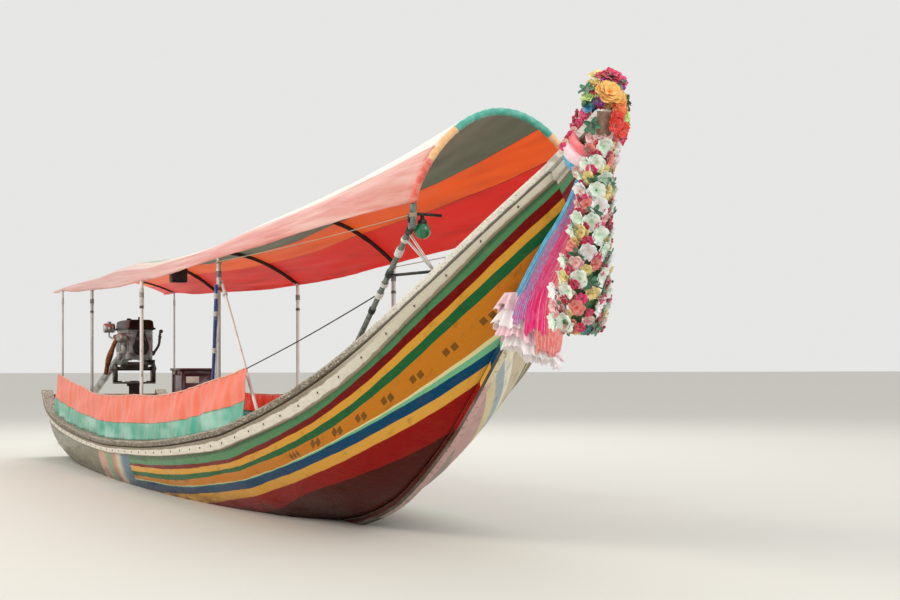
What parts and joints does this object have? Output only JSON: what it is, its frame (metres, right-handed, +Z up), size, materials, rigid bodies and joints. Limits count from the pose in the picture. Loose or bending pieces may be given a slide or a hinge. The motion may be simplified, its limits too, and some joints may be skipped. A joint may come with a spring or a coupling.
{
  "type": "longtail boat",
  "caption": "Wooden longtail boat afloat: striped raised-bow hull, cloth canopy on tube hoops, swivelling deck engine with a long tail shaft, and a bow dressed with sashes and flowers.",
  "frame": {"origin": "On the centreline at the waterline, near the middle of the hull's waterplane.", "axes": "+X to the bow, +Y to port, +Z up; z = 0 is the waterline."},
  "size_m": [17.5841, 1.846, 3.0472],
  "materials": {
    "hull_paint": "striped enamel paint over planks: green, dark red, yellow, orange, blue bands, weathered",
    "bare_timber": "weathered oiled hardwood, dark and wet near the water",
    "cap_timber": "grey-white flaking paint over weathered boards",
    "wale_paint": "off-white paint with stains and brown lower edge",
    "deck_boards": "worn oiled planks",
    "seat_paint": "worn blue gloss paint on boards",
    "box_paint": "dark maroon gloss paint, chipped",
    "tube_steel": "white and grey painted steel tube",
    "frame_steel": "black painted steel, oily",
    "cast_metal": "grey painted cast iron, oil-stained",
    "black_cover": "black painted pressed cover",
    "plain_steel": "dull galvanised steel",
    "rusty_iron": "rusted cast iron",
    "tail_steel": "galvanised and worn steel tube",
    "bronze": "worn bronze",
    "black_plastic": "black moulded plastic",
    "green_lens": "green moulded lens",
    "red_lens": "red moulded lens",
    "canopy_cloth": "coated cloth in orange, red, green and faded bands",
    "curtain_cloth": "gathered coated cloth, orange-red over green",
    "flowers": "strung flowers in white, pink, crimson and yellow",
    "sash_cloth": "satin sashes in magenta, blue, pink and coral",
    "lace_cloth": "white and pink tulle",
    "rope": "taut braided line",
    "pole_paint": "painted thin pole, white, blue or faded red"
  },
  "bodies": {
    "hull": {"hull_planking": "hull_paint", "transom": "bare_timber", "keel_and_stem": "bare_timber", "stem_head": "bare_timber", "cap_rail_starboard": "cap_timber", "wale_starboard": "wale_paint", "curtain_starboard": "curtain_cloth", "prop_pole_starboard": "tube_steel", "side_lamp_starboard": "green_lens", "curtain_line_starboard": "rope", "cap_rail_port": "cap_timber", "wale_port": "wale_paint", "curtain_port": "curtain_cloth", "prop_pole_port": "tube_steel", "side_lamp_port": "red_lens", "curtain_line_port": "rope", "stern_deck": "deck_boards", "bow_deck": "deck_boards", "floorboards": "deck_boards", "passenger_bench_1": "seat_paint", "passenger_bench_2": "seat_paint", "passenger_bench_3": "seat_paint", "passenger_bench_4": "seat_paint", "driver_platform": "deck_boards", "driver_box": "box_paint", "hoop_stern": "tube_steel", "hoop_engine": "tube_steel", "hoop_driver": "tube_steel", "hoop_middle": "tube_steel", "hoop_front": "tube_steel", "flag_pole": "pole_paint", "hoop_brace": "pole_paint", "canopy": "canopy_cloth", "engine_turret": "frame_steel", "speaker_box": "black_plastic", "flower_crown": "flowers", "sash_knot": "sash_cloth", "flower_garland": "flowers", "bow_sash": "sash_cloth", "lace_skirt": "lace_cloth"},
    "swivel": {"swivel_yoke": "frame_steel"},
    "engine": {"engine_cradle": "frame_steel", "engine_block": "cast_metal", "valve_cover": "black_cover", "gearbox": "cast_metal", "crank_pulley": "cast_metal", "alternator": "cast_metal", "coolant_tank": "plain_steel", "exhaust": "rusty_iron", "tiller": "frame_steel", "tail_tube": "tail_steel"},
    "propeller": {"propeller": "bronze"}
  },
  "joints": [
    {"name": "engine_swivel", "type": "hinge", "parent": "hull", "child": "swivel", "pos_m": [-3, 0, 0.95], "axis": [0, 0, 1], "range_deg": [-35, 35]},
    {"name": "engine_tilt", "type": "hinge", "parent": "swivel", "child": "engine", "pos_m": [-3, 0, 1.12], "axis": [0, 1, 0], "range_deg": [-1, 14]},
    {"name": "propeller_spin", "type": "hinge", "parent": "engine", "child": "propeller", "pos_m": [-8.8577, 0, -0.1705], "axis": [0.9613, 0, 0.2756], "continuous": true}
  ]
}
